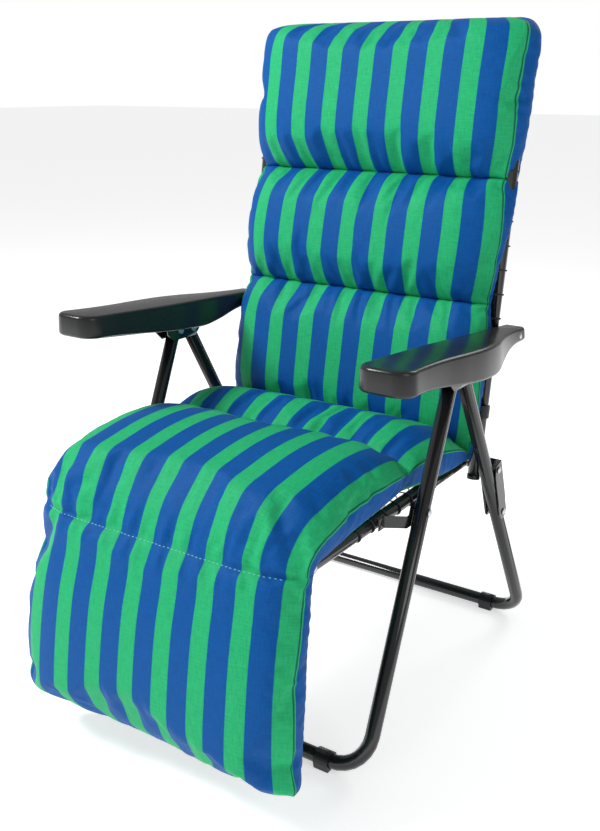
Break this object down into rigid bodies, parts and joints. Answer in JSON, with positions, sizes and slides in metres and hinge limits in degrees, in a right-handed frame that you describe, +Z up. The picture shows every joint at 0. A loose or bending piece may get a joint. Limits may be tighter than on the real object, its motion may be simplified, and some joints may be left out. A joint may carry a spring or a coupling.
{
  "type": "reclining sun lounger",
  "caption": "Folding sun lounger with a black tube frame, moulded armrests, a padded striped mat and a leg rest. The back reclines.",
  "frame": {"origin": "on the floor, under the middle of the lounger's box", "axes": "+Z up, -Y the way the sitter faces, +X to the sitter's left"},
  "size_m": [0.6082, 0.7416, 1.0246],
  "materials": {
    "black_paint": "gloss black paint on steel tube",
    "black_plastic": "satin black moulded plastic",
    "zinc": "bright zinc plate",
    "sling_cloth": "black woven cloth",
    "mat_fabric": "woven cotton, blue and green stripes along the mat"
  },
  "bodies": {
    "front_legs": {"front_leg_frame": "black_paint", "front_foot_left": "black_plastic", "front_foot_right": "black_plastic"},
    "seat": {"seat_frame": "black_paint", "seat_strap_left": "black_paint", "seat_strap_right": "black_paint", "seat_hinge_bolt_left": "zinc", "seat_hinge_bolt_right": "zinc", "leg_rest_bolt_left": "zinc", "leg_rest_bolt_right": "zinc", "seat_pad_rear": "mat_fabric", "seat_pad_front": "mat_fabric", "fold_pad_knee": "mat_fabric", "seat_sling": "sling_cloth"},
    "arm_brackets": {"arm_bracket_left": "black_paint", "arm_bracket_right": "black_paint", "front_leg_bolt_left": "zinc", "front_leg_bolt_right": "zinc", "rear_leg_bolt_left": "zinc", "rear_leg_bolt_right": "zinc"},
    "rear_legs": {"rear_leg_frame": "black_paint", "rear_foot_left": "black_plastic", "rear_foot_right": "black_plastic"},
    "links": {"link_channel_left": "black_paint", "link_channel_right": "black_paint", "link_lower_bolt_left": "zinc", "link_lower_bolt_right": "zinc", "link_upper_bolt_left": "zinc", "link_upper_bolt_right": "zinc"},
    "hinge_bolts": {"back_hinge_bolt_left": "zinc", "back_hinge_bolt_right": "zinc", "fold_pad_rear": "mat_fabric"},
    "back": {"back_frame": "black_paint", "back_bumper_left": "black_plastic", "back_bumper_right": "black_plastic", "back_end_cap_left": "black_plastic", "back_end_cap_right": "black_plastic", "back_pad_lower": "mat_fabric", "back_pad_middle": "mat_fabric", "head_pad": "mat_fabric", "back_sling": "sling_cloth"},
    "armrests": {"armrest_left": "black_plastic", "armrest_right": "black_plastic", "arm_bolt_left": "zinc", "arm_bolt_right": "zinc"},
    "leg_rest": {"leg_rest_frame": "black_paint", "leg_pad": "mat_fabric", "leg_rest_sling": "sling_cloth"}
  },
  "joints": [
    {"name": "fold", "type": "hinge", "parent": "front_legs", "child": "seat", "pos_m": [0, -0.06019, 0.361], "axis": [-1, 0, 0], "range_deg": [0, 48], "deforming": ["fold_pad_rear"]},
    {"name": "bracket_turn", "type": "hinge", "parent": "front_legs", "child": "arm_brackets", "pos_m": [0, 0.014, 0.539], "axis": [-1, 0, 0], "range_deg": [0, 57.38]},
    {"name": "rear_leg_swing", "type": "hinge", "parent": "arm_brackets", "child": "rear_legs", "pos_m": [0, 0.047, 0.537], "axis": [1, 0, 0], "range_deg": [0, 21.98]},
    {"name": "link_turn", "type": "hinge", "parent": "rear_legs", "child": "links", "pos_m": [0, 0.20629, 0.268], "axis": [-1, 0, 0], "range_deg": [0, 88.44]},
    {"name": "bolt_turn", "type": "hinge", "parent": "seat", "child": "hinge_bolts", "pos_m": [0, 0.1755, 0.35], "axis": [1, 0, 0], "range_deg": [0, 43.96]},
    {"name": "recline", "type": "hinge", "parent": "hinge_bolts", "child": "back", "pos_m": [0, 0.1755, 0.35], "axis": [-1, 0, 0], "range_deg": [0, 28]},
    {"name": "armrest_slide", "type": "hinge", "parent": "arm_brackets", "child": "armrests", "pos_m": [0, -0.07871, -0.24825], "axis": [-1, 0, 0], "range_deg": [0, 6.9]},
    {"name": "leg_rest_lift", "type": "hinge", "parent": "seat", "child": "leg_rest", "pos_m": [0, -0.274, 0.348], "axis": [-1, 0, 0], "range_deg": [0, 75], "deforming": ["fold_pad_knee"]}
  ],
  "couplings": [
    {"joint": "bracket_turn", "follows": "fold", "ratio": 1.1955},
    {"joint": "rear_leg_swing", "follows": "fold", "ratio": 0.4578},
    {"joint": "link_turn", "follows": "fold", "ratio": 1.8424},
    {"joint": "bolt_turn", "follows": "fold", "ratio": 0.9157},
    {"joint": "armrest_slide", "follows": "recline", "ratio": 0.2464}
  ]
}
